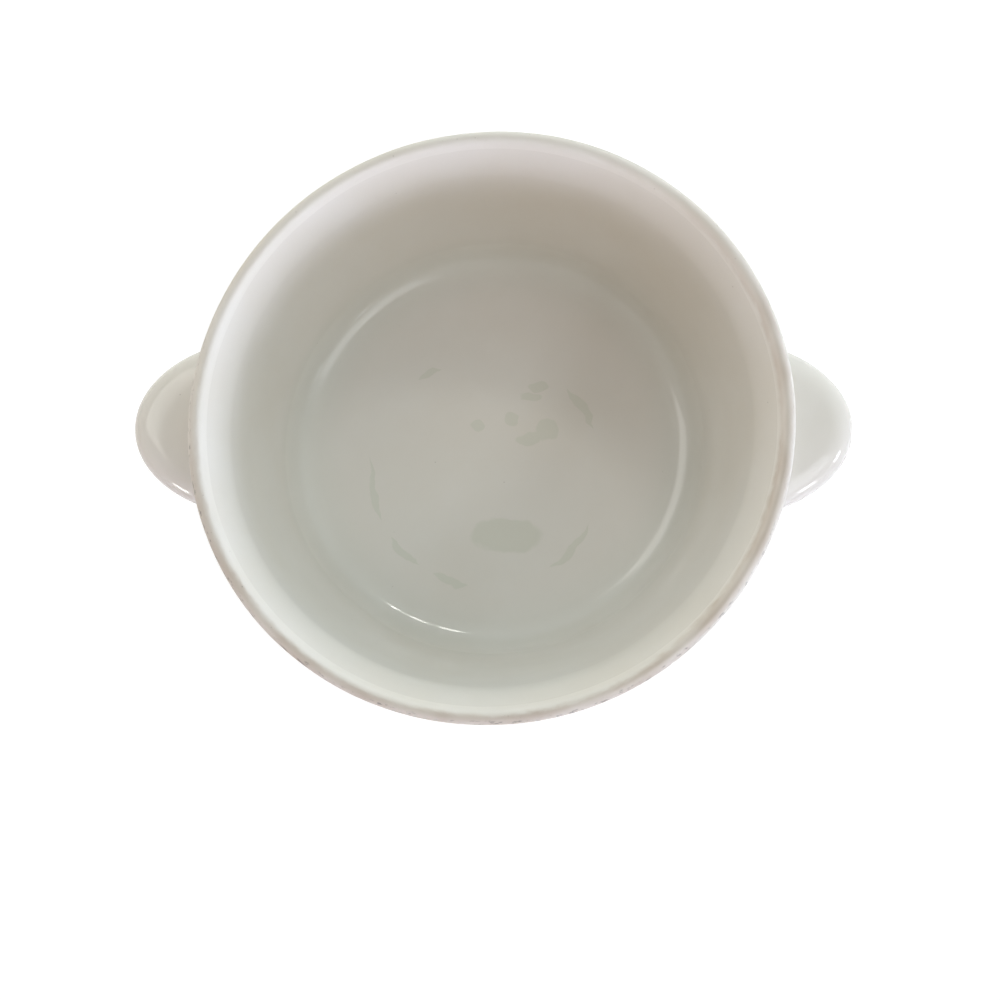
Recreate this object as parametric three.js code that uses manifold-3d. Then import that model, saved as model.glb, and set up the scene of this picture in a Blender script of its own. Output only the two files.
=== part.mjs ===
// A round, open porcelain casserole dish with a solid lug handle on each side.
// Millimetres, +Z up. The origin is the middle of the dish on the surface that it stands on,
// and the handles lie along X.
import * as THREE from "three";
import { mergeVertices } from "three/addons/utils/BufferGeometryUtils.js";
import Module from "manifold-3d";

const degrees = THREE.MathUtils.degToRad;

// Dish
const rimDiameter = 200;
const dishHeight = 92;
const wallThickness = 5.6;
const wallSlope = degrees(9); // from upright
const flareHeight = 13; // from the top of the lip down to the bend where the wall starts to flare
const flareSlope = degrees(28); // from upright
const flareBend = 22; // radius of that bend, at the middle of the wall
const baseBend = 15; // radius between wall and floor, at the middle of the wall
const outOfRound = 4.8; // longest rim diameter less the shortest, from shrinking in the kiln
const outOfRoundAngle = degrees(28); // from +X to the longest diameter

// Foot ring
const footHeight = 5;
const footWidth = 6;
const footEdgeRadius = 1.4;
const footInset = 2; // from the edge of the flat underside to the ring

// Lug handles: each is the end of a flat ellipse with rounded edges
const handleReach = 23.4; // beyond the rim
const handleEllipseLength = 48; // half of the ellipse's long axis
const handleEllipseWidth = 32; // half of its short axis
const handleThickness = 12;
const handleEdgeWidth = 8; // how far in from the outline the rounding starts
const handleEdgeBand = 2; // upright band between the upper and the lower rounding
const handleDrop = 16; // from the top of the lip to the top of the lug

// Casting slip between a lug and the wall
const slipThickness = 0.8;
const slipMargin = 1.2; // how far the slip is squeezed out round the lug
const seam = 0.3; // gap left between neighbouring pieces

// Fineness of the facets
const roundSegments = 72;
const bendSegments = 3; // pairs of facets along each bend of a profile
const ellipseSegments = 20; // pairs of facets along the lug's half ellipse
const edgeSegments = 4;

const rimRadius = rimDiameter / 2;
const halfWall = wallThickness / 2;

// The middle of the wall as corners [radius, height, bend], from the axis out to the centre of the lip
const lipRadius = rimRadius - halfWall;
const lipHeight = dishHeight - halfWall;
const bendHeight = dishHeight - flareHeight;
const bendRadius = lipRadius - (lipHeight - bendHeight) * Math.tan(flareSlope);
const baseHeight = footHeight + halfWall;
const baseRadius = bendRadius - (bendHeight - baseHeight) * Math.tan(wallSlope);
const wallMiddle = [
  [0, baseHeight, 0],
  [baseRadius, baseHeight, baseBend],
  [bendRadius, bendHeight, flareBend],
  [lipRadius, lipHeight, 0],
];

// The corners moved sideways by a distance: outwards where it is positive, inwards where it is negative
function offsetCorners(corners, distance) {
  const points = corners.map(([radius, height]) => new THREE.Vector2(radius, height));
  const normals = points.slice(1).map((point, i) => {
    const along = point.clone().sub(points[i]).normalize();
    return new THREE.Vector2(along.y, -along.x);
  });
  return corners.map(([, , bend], i) => {
    const before = normals[Math.max(i - 1, 0)];
    const after = normals[Math.min(i, normals.length - 1)];
    const mitre = before.clone().add(after).multiplyScalar(distance / (1 + before.dot(after)));
    const turn = Math.sign(before.cross(after));
    return [points[i].x + mitre.x, points[i].y + mitre.y, bend + turn * distance];
  });
}

// Adds a line through the corners to a path, each inner corner rounded to its bend
function addRoundedLine(path, corners) {
  const points = corners.map(([radius, height]) => new THREE.Vector2(radius, height));
  for (let i = 1; i < points.length - 1; i += 1) {
    const bend = corners[i][2];
    const back = points[i - 1].clone().sub(points[i]).normalize();
    const onward = points[i + 1].clone().sub(points[i]).normalize();
    const halfAngle = Math.acos(back.dot(onward)) / 2;
    const start = points[i].clone().addScaledVector(back, bend / Math.tan(halfAngle));
    const end = points[i].clone().addScaledVector(onward, bend / Math.tan(halfAngle));
    const bisector = back.clone().add(onward).normalize();
    const centre = points[i].clone().addScaledVector(bisector, bend / Math.sin(halfAngle));
    const from = start.clone().sub(centre).angle();
    const to = end.clone().sub(centre).angle();
    path.lineTo(start.x, start.y);
    path.absarc(centre.x, centre.y, bend, from, to, back.cross(onward) > 0);
  }
  path.lineTo(points.at(-1).x, points.at(-1).y);
}

// A solid of revolution about Z from a profile path of radius and height
function turned(path) {
  return new THREE.LatheGeometry(path.getPoints(bendSegments), roundSegments).rotateX(Math.PI / 2);
}

// The outside of the dish as a filled solid, grown by a distance all over
function dishOutside(grow) {
  const outside = offsetCorners(wallMiddle, halfWall + grow);
  const path = new THREE.Path().moveTo(...outside[0].slice(0, 2));
  addRoundedLine(path, outside);
  path.absarc(lipRadius, lipHeight, halfWall + grow, -flareSlope, Math.PI / 2, false);
  path.lineTo(0, dishHeight + grow);
  return turned(path);
}

// Wall and floor of one thickness, ended by a half-round lip
function dishBody() {
  const outside = offsetCorners(wallMiddle, halfWall);
  const inside = offsetCorners(wallMiddle, -halfWall).reverse();
  const path = new THREE.Path().moveTo(...outside[0].slice(0, 2));
  addRoundedLine(path, outside);
  path.absarc(lipRadius, lipHeight, halfWall, -flareSlope, Math.PI - flareSlope, false);
  addRoundedLine(path, inside);
  return turned(path);
}

// A ring with rounded lower edges under the flat of the underside
function footRing() {
  const [cornerRadius, , cornerBend] = offsetCorners(wallMiddle, halfWall)[1];
  const flatRadius = cornerRadius - cornerBend * Math.tan((Math.PI / 2 - wallSlope) / 2);
  const outer = flatRadius - footInset;
  const inner = outer - footWidth;
  const top = footHeight - seam;
  const path = new THREE.Path().moveTo(inner, top);
  addRoundedLine(path, [
    [inner, top, 0],
    [inner, 0, footEdgeRadius],
    [outer, 0, footEdgeRadius],
    [outer, top, 0],
  ]);
  path.lineTo(inner, top);
  return turned(path);
}

// The tongue that a lug on +X is cut from, grown by a distance all over: it ends in half of the
// ellipse and starts inside the dish
function handleBlank(grow) {
  const length = handleEllipseLength + grow;
  const width = handleEllipseWidth + grow;
  const middle = rimRadius + handleReach - handleEllipseLength;
  const outline = new THREE.Shape();
  outline.moveTo(middle - width, -width);
  outline.lineTo(middle, -width);
  outline.absellipse(middle, 0, length, width, -Math.PI / 2, Math.PI / 2, false, 0);
  outline.lineTo(middle - width, width);
  outline.closePath();
  const blank = new THREE.ExtrudeGeometry(outline, {
    depth: handleEdgeBand,
    bevelThickness: (handleThickness - handleEdgeBand) / 2 + grow,
    bevelSize: handleEdgeWidth + grow,
    bevelOffset: -handleEdgeWidth - grow,
    bevelSegments: edgeSegments,
    curveSegments: ellipseSegments,
  });
  return blank.translate(0, 0, dishHeight - handleDrop - (handleThickness + handleEdgeBand) / 2);
}

const wasm = await Module();
wasm.setup();

// A closed geometry as a solid that can be joined and cut
function solidOf(geometry) {
  const bare = geometry.clone().deleteAttribute("normal").deleteAttribute("uv");
  const merged = mergeVertices(bare);
  return new wasm.Manifold(
    new wasm.Mesh({
      numProp: 3,
      vertProperties: merged.getAttribute("position").array,
      triVerts: new Uint32Array(merged.index.array),
    }),
  );
}

function geometryOf(solid) {
  const { vertProperties, triVerts } = solid.getMesh();
  const geometry = new THREE.BufferGeometry();
  geometry.setAttribute("position", new THREE.BufferAttribute(vertProperties, 3));
  geometry.setIndex(new THREE.BufferAttribute(triVerts, 1));
  geometry.computeVertexNormals();
  return geometry;
}

const slipInside = solidOf(dishOutside(seam));
const slipOutside = solidOf(dishOutside(seam + slipThickness));
const handleSeat = solidOf(dishOutside(seam + slipThickness + seam));

const slipGeometry = geometryOf(
  solidOf(handleBlank(slipMargin)).intersect(slipOutside).subtract(slipInside),
);
const handleGeometry = geometryOf(solidOf(handleBlank(0)).subtract(handleSeat));

const glaze = { color: 0xe4e1d8, roughness: 0.16, metalness: 0 };
const biscuit = { color: 0xd3c8b8, roughness: 0.7, metalness: 0 };

function piece(name, geometry, finish, turn = 0) {
  const mesh = new THREE.Mesh(geometry, new THREE.MeshStandardMaterial(finish));
  mesh.name = name;
  mesh.rotation.z = turn;
  return mesh;
}

const pieces = new THREE.Group();
pieces.add(
  piece("casserole_body", dishBody(), glaze),
  piece("foot_ring", footRing(), biscuit),
  piece("right_handle", handleGeometry, glaze),
  piece("left_handle", handleGeometry, glaze, Math.PI),
  piece("right_slip_joint", slipGeometry, glaze),
  piece("left_slip_joint", slipGeometry, glaze, Math.PI),
);

// The whole dish is stretched along its longest diameter and drawn in across it
const stretch = outOfRound / (2 * rimDiameter);
const casseroleDish = new THREE.Group();
casseroleDish.rotation.z = outOfRoundAngle;
casseroleDish.scale.set(1 + stretch, 1 - stretch, 1);
pieces.rotation.z = -outOfRoundAngle;
casseroleDish.add(pieces);

export default casseroleDish;
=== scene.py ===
# %% [markdown]
# # A round porcelain casserole dish
#
# The dish is a deep, slightly tapered bowl of white porcelain with a flared lip, a solid lug on each side
# and a bare foot ring under it. The solids of the part give its sizes and its place, and are loaded first
# as a fixed frame. Every piece that is modelled here is in metres in that same frame, so nothing has to be
# fitted later.

# %% Load the frame
import math

import bpy
from mathutils import Matrix, Vector


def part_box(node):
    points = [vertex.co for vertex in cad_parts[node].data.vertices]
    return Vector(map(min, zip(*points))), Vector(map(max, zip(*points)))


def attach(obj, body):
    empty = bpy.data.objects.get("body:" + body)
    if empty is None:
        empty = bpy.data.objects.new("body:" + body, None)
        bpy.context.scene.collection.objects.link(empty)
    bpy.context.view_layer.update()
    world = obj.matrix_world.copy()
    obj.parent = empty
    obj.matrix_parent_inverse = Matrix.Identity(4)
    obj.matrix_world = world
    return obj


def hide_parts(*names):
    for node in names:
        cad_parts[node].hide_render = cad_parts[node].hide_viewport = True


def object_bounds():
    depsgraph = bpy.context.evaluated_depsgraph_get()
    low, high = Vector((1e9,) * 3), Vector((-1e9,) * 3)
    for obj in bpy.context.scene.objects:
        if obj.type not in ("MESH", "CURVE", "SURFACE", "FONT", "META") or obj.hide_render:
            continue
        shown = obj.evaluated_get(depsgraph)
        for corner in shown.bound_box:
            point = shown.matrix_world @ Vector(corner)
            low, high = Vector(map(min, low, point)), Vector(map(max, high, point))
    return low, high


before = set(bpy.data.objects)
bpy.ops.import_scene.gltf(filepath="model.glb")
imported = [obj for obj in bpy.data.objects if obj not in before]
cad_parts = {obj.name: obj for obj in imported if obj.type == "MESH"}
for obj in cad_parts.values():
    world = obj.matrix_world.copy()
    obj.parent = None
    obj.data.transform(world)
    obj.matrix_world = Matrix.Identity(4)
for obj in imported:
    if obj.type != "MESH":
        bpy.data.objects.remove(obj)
cad_low, cad_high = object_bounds()
MM = 0.001
print("nodes:", sorted(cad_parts))
print("size of the solids in mm:", [round(side / MM, 1) for side in cad_high - cad_low])

# %% [markdown]
# ## Camera
#
# The dish is seen from almost straight above. A camera that is aimed by eye never quite repeats a
# perspective, so this one is built from five facts instead: how far it is from the mouth of the dish, how
# much it leans away from straight down, which way it leans, how it is rolled, and where the middle of the
# mouth falls in the picture.

# %% Set up the camera
IMAGE_PIXELS = 1000
MOUTH_PIXEL = (490.8, 419.5)
FOCAL_PIXELS = 1326
SENSOR_WIDTH = 36
camera_distance = 440 * MM
camera_tilt = math.radians(8.0)
camera_turn = math.radians(8.6)
camera_roll = math.radians(0.95)
mouth_below_crest = 3 * MM
mouth = Vector((0, 0, cad_high.z - mouth_below_crest))

lean = math.sin(camera_tilt)
backward = Vector((math.sin(camera_turn) * lean, -math.cos(camera_turn) * lean, math.cos(camera_tilt)))
level_right = Vector((0, 1, 0)).cross(backward).normalized()
level_up = backward.cross(level_right)
rightward = level_right * math.cos(camera_roll) + level_up * math.sin(camera_roll)
upward = backward.cross(rightward)

bpy.ops.object.select_all(action="DESELECT")
bpy.ops.object.camera_add()
camera = bpy.context.object
camera.name = "camera_above"
camera.matrix_world = Matrix.Translation(mouth + backward * camera_distance) @ Matrix(
    (rightward, upward, backward)).transposed().to_4x4()
camera.data.sensor_width = SENSOR_WIDTH
camera.data.lens = FOCAL_PIXELS / IMAGE_PIXELS * SENSOR_WIDTH
camera.data.shift_x = 0.5 - MOUTH_PIXEL[0] / IMAGE_PIXELS
camera.data.shift_y = MOUTH_PIXEL[1] / IMAGE_PIXELS - 0.5
camera.data.clip_start = 10 * MM
bpy.context.scene.camera = camera
print("camera at", [round(c / MM) for c in camera.location], "mm,",
      "with a lens of", round(camera.data.lens, 1), "mm")

# %% [markdown]
# ## The wall of the dish
#
# A potter's template is one line: the section of the wall. Here that line is the middle of the wall, given
# by its corners, each with a radius, a height and the radius of its bend. Moving it aside by half of the
# wall's thickness gives the outside and the inside, so the wall is equally thick everywhere.

# %% Corners of the wall's middle line
body_low, body_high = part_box("casserole_body")
dish_height = body_high.z
foot_height = body_low.z
rim_radius = round((body_high.x - body_low.x + body_high.y - body_low.y) / 4, 3)
half_wall = 2.8 * MM
wall_slope = math.radians(9)
flare_height = 13 * MM
flare_slope = math.radians(28)
flare_bend = 22 * MM
base_bend = 15 * MM

lip_radius = rim_radius - half_wall
lip_height = dish_height - half_wall
bend_height = dish_height - flare_height
bend_radius = lip_radius - (lip_height - bend_height) * math.tan(flare_slope)
base_height = foot_height + half_wall
base_radius = bend_radius - (bend_height - base_height) * math.tan(wall_slope)
wall_middle = [
    (0, base_height, 0),
    (base_radius, base_height, base_bend),
    (bend_radius, bend_height, flare_bend),
    (lip_radius, lip_height, 0),
]


def moved_aside(corners, distance):
    """The corners moved to the right of their line by a distance, with bends that stay parallel."""
    points = [Vector(corner[:2]) for corner in corners]
    runs = [(end - start).normalized() for start, end in zip(points, points[1:])]
    sides = [Vector((run.y, -run.x)) for run in runs]
    moved = []
    for i, point in enumerate(points):
        before, after = sides[max(i - 1, 0)], sides[min(i, len(sides) - 1)]
        mitre = (before + after) * distance / (1 + before.dot(after))
        bend = corners[i][2]
        if bend:
            bend += math.copysign(distance, distance * before.cross(after))
        moved.append((point.x + mitre.x, point.y + mitre.y, bend))
    return moved


outside = moved_aside(wall_middle, half_wall)
inside = moved_aside(wall_middle, -half_wall)
print("rim radius", round(rim_radius / MM, 1), "mm, floor radius", round(inside[1][0] / MM, 1), "mm")

# %% [markdown]
# ## A pen for profiles
#
# Blender can draw that section as it would be drawn by hand: one vertex is extruded along each straight
# run, and spun about the centre of each bend. A vertex is not a primitive, so a tiny plane is added and
# merged to its middle. The runs are drawn in short steps, because the fired wall gets a slight wobble
# later.

# %% Draw a profile with one vertex
RUN_STEP = 3 * MM
BEND_STEP = 0.9 * MM


def start_profile(name, radius, height):
    """A new object of one vertex in the XZ plane, open in edit mode."""
    bpy.ops.object.select_all(action="DESELECT")
    bpy.ops.mesh.primitive_plane_add(size=MM, location=(radius, 0, height))
    piece = bpy.context.object
    piece.name = piece.data.name = name
    bpy.ops.object.transform_apply(location=True)
    bpy.ops.object.mode_set(mode="EDIT")
    bpy.ops.mesh.select_all(action="SELECT")
    bpy.ops.mesh.merge(type="CENTER")
    return piece


def draw_run(start, end):
    """Extrudes the selected vertex along a straight run."""
    steps = max(1, round((end - start).length / RUN_STEP))
    move = (end - start) / steps
    for _ in range(steps):
        bpy.ops.mesh.extrude_vertices_move(TRANSFORM_OT_translate={"value": (move.x, 0, move.y)})


def draw_bend(centre, radius, turn):
    """Spins the selected vertex about a centre, against the clock where the turn is positive."""
    steps = max(3, round(abs(turn) * radius / BEND_STEP))
    bpy.ops.mesh.spin(steps=steps, angle=turn, center=(centre.x, 0, centre.y), axis=(0, 1, 0))


def draw_corners(corners):
    """Draws a line through the corners from the first, where the pen is, with each inner corner rounded."""
    points = [Vector(corner[:2]) for corner in corners]
    pen = points[0]
    for i in range(1, len(points) - 1):
        back = (points[i - 1] - points[i]).normalized()
        onward = (points[i + 1] - points[i]).normalized()
        bend = corners[i][2]
        half_angle = back.angle(onward) / 2
        start = points[i] + back * bend / math.tan(half_angle)
        centre = points[i] + (back + onward).normalized() * bend / math.sin(half_angle)
        turn = math.copysign(math.pi - 2 * half_angle, onward.cross(back))
        draw_run(pen, start)
        draw_bend(centre, bend, turn)
        pen = points[i] + onward * bend / math.tan(half_angle)
    draw_run(pen, points[-1])


print("the pen steps", RUN_STEP / MM, "mm along a run and", BEND_STEP / MM, "mm round a bend")

# %% [markdown]
# ## Turning and the kiln
#
# The drawn profile is spun about the upright axis like clay on a wheel. Porcelain shrinks and sags in the
# kiln, so a large dish never comes out quite round: this one is about two percent longer along one
# diagonal. That stretch is given to every piece in the same way, so that the lugs and the foot still fit
# the wall.

# %% Turn a profile and draw it out of round
ROUND_STEPS = 240
OVAL_ANGLE = math.radians(28)
OVAL_STRETCH = 4.8 * MM / (4 * rim_radius)
DOUBLES = 0.005 * MM


def turn_profile(piece):
    """Spins the profile that is open in edit mode round Z and closes it."""
    bpy.ops.mesh.select_all(action="SELECT")
    bpy.ops.mesh.spin(steps=ROUND_STEPS, angle=math.tau, center=(0, 0, 0), axis=(0, 0, 1))
    bpy.ops.mesh.select_all(action="SELECT")
    bpy.ops.mesh.remove_doubles(threshold=DOUBLES)
    bpy.ops.mesh.normals_make_consistent(inside=False)
    bpy.ops.object.mode_set(mode="OBJECT")
    bpy.ops.object.shade_smooth()
    print(piece.name, "has", len(piece.data.vertices), "vertices")


def select_only(piece):
    """Makes a piece the only selected object, and the active one."""
    bpy.ops.object.select_all(action="DESELECT")
    piece.select_set(True)
    bpy.context.view_layer.objects.active = piece


def draw_out_of_round(piece):
    """Turns the longest diameter to X, stretches the mesh along it and turns it back."""
    select_only(piece)
    stretch = Vector((1 + OVAL_STRETCH, 1 - OVAL_STRETCH, 1))
    for turn, scale in ((-OVAL_ANGLE, stretch), (OVAL_ANGLE, Vector((1, 1, 1)))):
        piece.rotation_euler.z = turn
        bpy.ops.object.transform_apply(rotation=True, scale=False)
        piece.scale = scale
        bpy.ops.object.transform_apply(rotation=False, scale=True)


diameters = [2 * rim_radius * (1 + sign * OVAL_STRETCH) for sign in (1, -1)]
print("rim out of round:", [round(diameter / MM, 1) for diameter in diameters], "mm")

# %% [markdown]
# ## The body of the dish
#
# The line runs from the middle of the underside, out and up the wall, over the half-round lip, down the
# inside and back to the middle of the floor. It starts and ends on the axis, so the turned mesh is closed.

# %% Turn the body
start_profile("casserole_body_fired", *outside[0][:2])
draw_corners(outside)
draw_bend(Vector((lip_radius, lip_height)), half_wall, math.pi)
draw_corners(inside[::-1])
dish = bpy.context.object
turn_profile(dish)

# %% [markdown]
# ## Where the lip wears and where its shade is painted
#
# Lids and spoons knock the lip, and its glaze is thinnest there, so it takes up brown stain; its outer half
# is also painted darker as shade. The finish needs to know how far each point is from the crest of the lip.
# That is worked out once, while the dish is still round, and kept on the mesh as an attribute in millimetres:
# positive outwards, negative inwards. A second attribute says how deep the point lies in the bend between
# wall and floor, where painted shade makes the glaze a little darker and greener.

# %% Measure the lip and the pool on the mesh
LIP_MARGIN = 1.05
# How far the painted shade in the bend between wall and floor reaches, and where it is darkest.
BEND_SHADE_REACH = 16 * MM
BEND_SHADE_MIDDLE = (0.5, -0.87)
floor_radius, floor_height, floor_bend = inside[1]
fillet_centre = Vector((floor_radius - floor_bend * math.tan(math.pi / 4 - wall_slope / 2),
                        floor_height + floor_bend))
deepest = fillet_centre + Vector(BEND_SHADE_MIDDLE) * floor_bend


def crest_distance(radius, height):
    """Distance over the surface from the crest of the lip, in millimetres."""
    out, up = radius - lip_radius, height - lip_height
    if math.hypot(out, up) < LIP_MARGIN * half_wall:
        return half_wall * math.atan2(out, up) / MM
    slope = flare_slope if height > bend_height else wall_slope
    middle = bend_radius + (height - bend_height) * math.tan(slope)
    side = 1 if radius > middle or height < base_height else -1
    return side * (half_wall * math.pi / 2 - up) / MM


def bend_shade_depth(radius, height):
    """Share of painted shade: one in the middle of the bend between wall and floor, none at a reach from it,
    and none outside.
    """
    if crest_distance(radius, height) > 0:
        return 0
    return max(0, 1 - (Vector((radius, height)) - deepest).length / BEND_SHADE_REACH)


def measure(piece, name, value_at):
    """Writes a number for every vertex of a piece into a named attribute."""
    attribute = piece.data.attributes.new(name, "FLOAT", "POINT")
    values = [value_at(math.hypot(v.co.x, v.co.y), v.co.z) for v in piece.data.vertices]
    attribute.data.foreach_set("value", values)
    print(name, "runs from", round(min(values), 2), "to", round(max(values), 2))


measure(dish, "from_crest", crest_distance)
measure(dish, "bend_shade", bend_shade_depth)

# %% [markdown]
# ## The lugs
#
# Each lug is the end of a flat ellipse with a broad rounding above, a tighter one below and a slightly
# crowned top, as on a cast lug that was sponged smooth. Two formulas hold that shape: how a rounding goes
# in and up, and how the top is lowered towards its edge. The slip joint needs them again, so they are
# written down before anything is modelled.

# %% Sizes and formulas of a lug
handle_low, handle_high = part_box("right_handle")
handle_top, handle_bottom = handle_high.z, handle_low.z
lug_middle = (handle_top + handle_bottom) / 2
handle_reach = 23.4 * MM
ellipse_length = 48 * MM
ellipse_width = 32 * MM
ellipse_middle = rim_radius + handle_reach - ellipse_length
edge_band = 2 * MM
edge_height = (handle_top - handle_bottom - edge_band) / 2
top_width = 9 * MM
under_width = 8 * MM
crown_height = 1.8 * MM
straight_up = Vector((0, 0, 1))


def edge_curve(angle):
    """How far in and how far up or down the rounding is at an angle."""
    width = top_width if angle > 0 else under_width
    return width * (1 - math.cos(angle)), edge_height * math.sin(angle)


def crowned(point, normal):
    """A point and normal of the lug's top after the top is lowered towards its edge."""
    away = Vector(((point.x - ellipse_middle) / ellipse_length ** 2, point.y / ellipse_width ** 2, 0))
    share = away.x * (point.x - ellipse_middle) + away.y * point.y
    lowered = point - straight_up * crown_height * share
    return lowered, (normal + 2 * crown_height * normal.z * away).normalized()


print("lug between", round(handle_bottom / MM, 1), "and", round(handle_top / MM, 1), "mm up")

# %% [markdown]
# ## Modelling one lug
#
# A filled circle is stretched to the ellipse and pulled up to the height of the edge band. Insets that
# climb a quarter of an ellipse make each rounding. The flat top that is left is filled with rings, and then
# the whole top is lowered towards its edge, so that no reflection on it looks cut from a plate.

# %% Model one lug as a full ellipse
ELLIPSE_STEPS = 144
EDGE_STEPS = 14
TOP_RINGS = 12
NEARLY_LEVEL = 0.99


def round_over(last_angle):
    """Insets the selected face along the rounding, from the edge band to its last angle."""
    curve = [edge_curve(last_angle * step / EDGE_STEPS) for step in range(EDGE_STEPS + 1)]
    for (inset, rise), (next_inset, next_rise) in zip(curve, curve[1:]):
        bpy.ops.mesh.inset(thickness=next_inset - inset, depth=abs(next_rise - rise))


def fill_with_rings():
    """Divides the selected face into rings that are scaled towards the middle of the ellipse."""
    for ring in range(TOP_RINGS, 1, -1):
        bpy.ops.mesh.inset(thickness=0)
        shrink = (ring - 1) / ring
        bpy.ops.transform.resize(value=(shrink, shrink, 1), center_override=(ellipse_middle, 0, 0))


def select_flat_face(piece, way):
    """Selects the one large face that looks straight up or down, in edit mode."""
    bpy.ops.mesh.select_all(action="DESELECT")
    bpy.ops.object.mode_set(mode="OBJECT")
    flat = [face for face in piece.data.polygons if face.normal.z * way > NEARLY_LEVEL]
    max(flat, key=lambda face: face.area).select = True
    bpy.ops.object.mode_set(mode="EDIT")


bpy.ops.object.select_all(action="DESELECT")
bpy.ops.mesh.primitive_circle_add(vertices=ELLIPSE_STEPS, fill_type="NGON",
                                  location=(ellipse_middle, 0, handle_bottom + edge_height))
lug = bpy.context.object
lug.name = lug.data.name = "right_handle_fired"
lug.scale = (ellipse_length, ellipse_width, 1)
bpy.ops.object.transform_apply(location=True, scale=True)
bpy.ops.object.mode_set(mode="EDIT")
bpy.ops.mesh.select_mode(type="FACE")
bpy.ops.mesh.select_all(action="SELECT")
bpy.ops.mesh.extrude_region_move(TRANSFORM_OT_translate={"value": (0, 0, edge_band)})
round_over(math.pi / 2)
fill_with_rings()
select_flat_face(lug, -1)
round_over(-math.pi / 2)
bpy.ops.mesh.select_mode(type="VERT")
bpy.ops.object.mode_set(mode="OBJECT")
for vertex in lug.data.vertices:
    if vertex.co.z > lug_middle:
        vertex.co = crowned(vertex.co, straight_up)[0]
print("lug from", round(min(v.co.z for v in lug.data.vertices) / MM, 2),
      "to", round(max(v.co.z for v in lug.data.vertices) / MM, 2), "mm high")

# %% [markdown]
# ## Seating the lug on the wall
#
# The half of the ellipse that reaches into the dish has to go, along the curve of the wall. The outside of
# the dish is turned once more as a solid block, and a Boolean modifier cuts the lug with it. The left lug
# is the same casting turned half way round.

# %% Cut the lug to the wall and copy it
LUG_SHARP_ANGLE = math.radians(40)
block = start_profile("wall_block", *outside[0][:2])
draw_corners(outside)
draw_run(Vector(outside[-1][:2]), Vector((0, dish_height)))
turn_profile(block)

select_only(lug)
seat = lug.modifiers.new("seat", "BOOLEAN")
seat.operation = "DIFFERENCE"
seat.object = block
bpy.ops.object.modifier_apply(modifier=seat.name)
bpy.ops.object.shade_smooth_by_angle(angle=LUG_SHARP_ANGLE)
bpy.data.objects.remove(block)


def half_turn_copy(piece, name):
    """A copy on the other side of the dish, with its own mesh."""
    select_only(piece)
    bpy.ops.object.duplicate()
    copy = bpy.context.object
    copy.name = copy.data.name = name
    copy.rotation_euler.z = math.pi
    bpy.ops.object.transform_apply(rotation=True)
    return copy


left_lug = half_turn_copy(lug, "left_handle_fired")
lug_tip = max(v.co.x for v in lug.data.vertices)
print("lug:", len(lug.data.polygons), "faces, tip at", round(lug_tip / MM, 1), "mm")

# %% [markdown]
# ## The slip joint
#
# A lug is stuck on with a coil of slip, which is then wiped into a hollow fillet all round its root. The
# fillet has to follow the line where lug and wall meet, and both are curved. The Boolean cut along that
# line but does not say where it is, so the two surfaces are written as formulas: the outer radius of the
# wall at a height, and a point with its normal on the lug's rounding.

# %% Write the wall and the lug as formulas
def outer_radius(height):
    """Outer radius of the round wall at a height on its straight part or its flare."""
    corner = Vector(outside[2][:2])
    bend = outside[2][2]
    reach = bend * math.tan((flare_slope - wall_slope) / 2)
    start = corner.y - reach * math.cos(wall_slope)
    end = corner.y + reach * math.cos(flare_slope)
    if height <= start:
        return corner.x + (height - corner.y) * math.tan(wall_slope)
    if height >= end:
        return corner.x + (height - corner.y) * math.tan(flare_slope)
    centre = Vector((corner.x - reach * math.sin(wall_slope) + bend * math.cos(wall_slope),
                     corner.y - reach * math.cos(wall_slope) - bend * math.sin(wall_slope)))
    return centre.x - math.sqrt(bend ** 2 - (height - centre.y) ** 2)


def edge_point(angle, turn):
    """Point and normal of the lug's rounding: the angle climbs the edge, the turn runs from tip to side."""
    inset, rise = edge_curve(angle)
    width = top_width if angle > 0 else under_width
    outward = Vector((math.cos(turn) / ellipse_length, math.sin(turn) / ellipse_width, 0)).normalized()
    outline = Vector((ellipse_middle + ellipse_length * math.cos(turn), ellipse_width * math.sin(turn), 0))
    height = lug_middle + math.copysign(edge_band / 2, angle) + rise
    point = outline - outward * inset + straight_up * height
    normal = (outward * math.cos(angle) / width + straight_up * math.sin(angle) / edge_height).normalized()
    return crowned(point, normal) if angle > 0 else (point, normal)


print("outer radius at the lug's middle:", round(outer_radius(lug_middle) / MM, 1), "mm")

# %% [markdown]
# ## Where lug and wall meet
#
# On the rounded sides of the lug, the meeting point at each step is found by halving an angle until it lies
# on the wall. On the crowned top and the flat underside a few repeated steps are enough. Together they give
# one closed line round the root, with the lug's normal at each of its points.

# %% Find the line where lug and wall meet
SLIP_EDGE_STEPS = 28
SLIP_FLAT_STEPS = 16
HALVINGS = 40
APPROACHES = 10


def edge_meets_wall(angle):
    """The point of the rounding at this angle that lies on the wall, found by halving the turn."""
    near, far = 0.0, math.pi / 2
    for _ in range(HALVINGS):
        turn = (near + far) / 2
        point, normal = edge_point(angle, turn)
        if math.hypot(point.x, point.y) > outer_radius(point.z):
            near = turn
        else:
            far = turn
    return point, normal


def flat_meets_wall(start, across, way):
    """Point and normal where the lug's top or underside meets the wall, at a distance across."""
    level = lug_middle + way * (edge_band / 2 + edge_height)
    height = start.z
    for _ in range(APPROACHES):
        along = math.sqrt(outer_radius(height) ** 2 - across ** 2)
        point, normal = Vector((along, across, level)), straight_up * way
        if way > 0:
            point, normal = crowned(point, normal)
        height = point.z
    return point, normal


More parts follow.
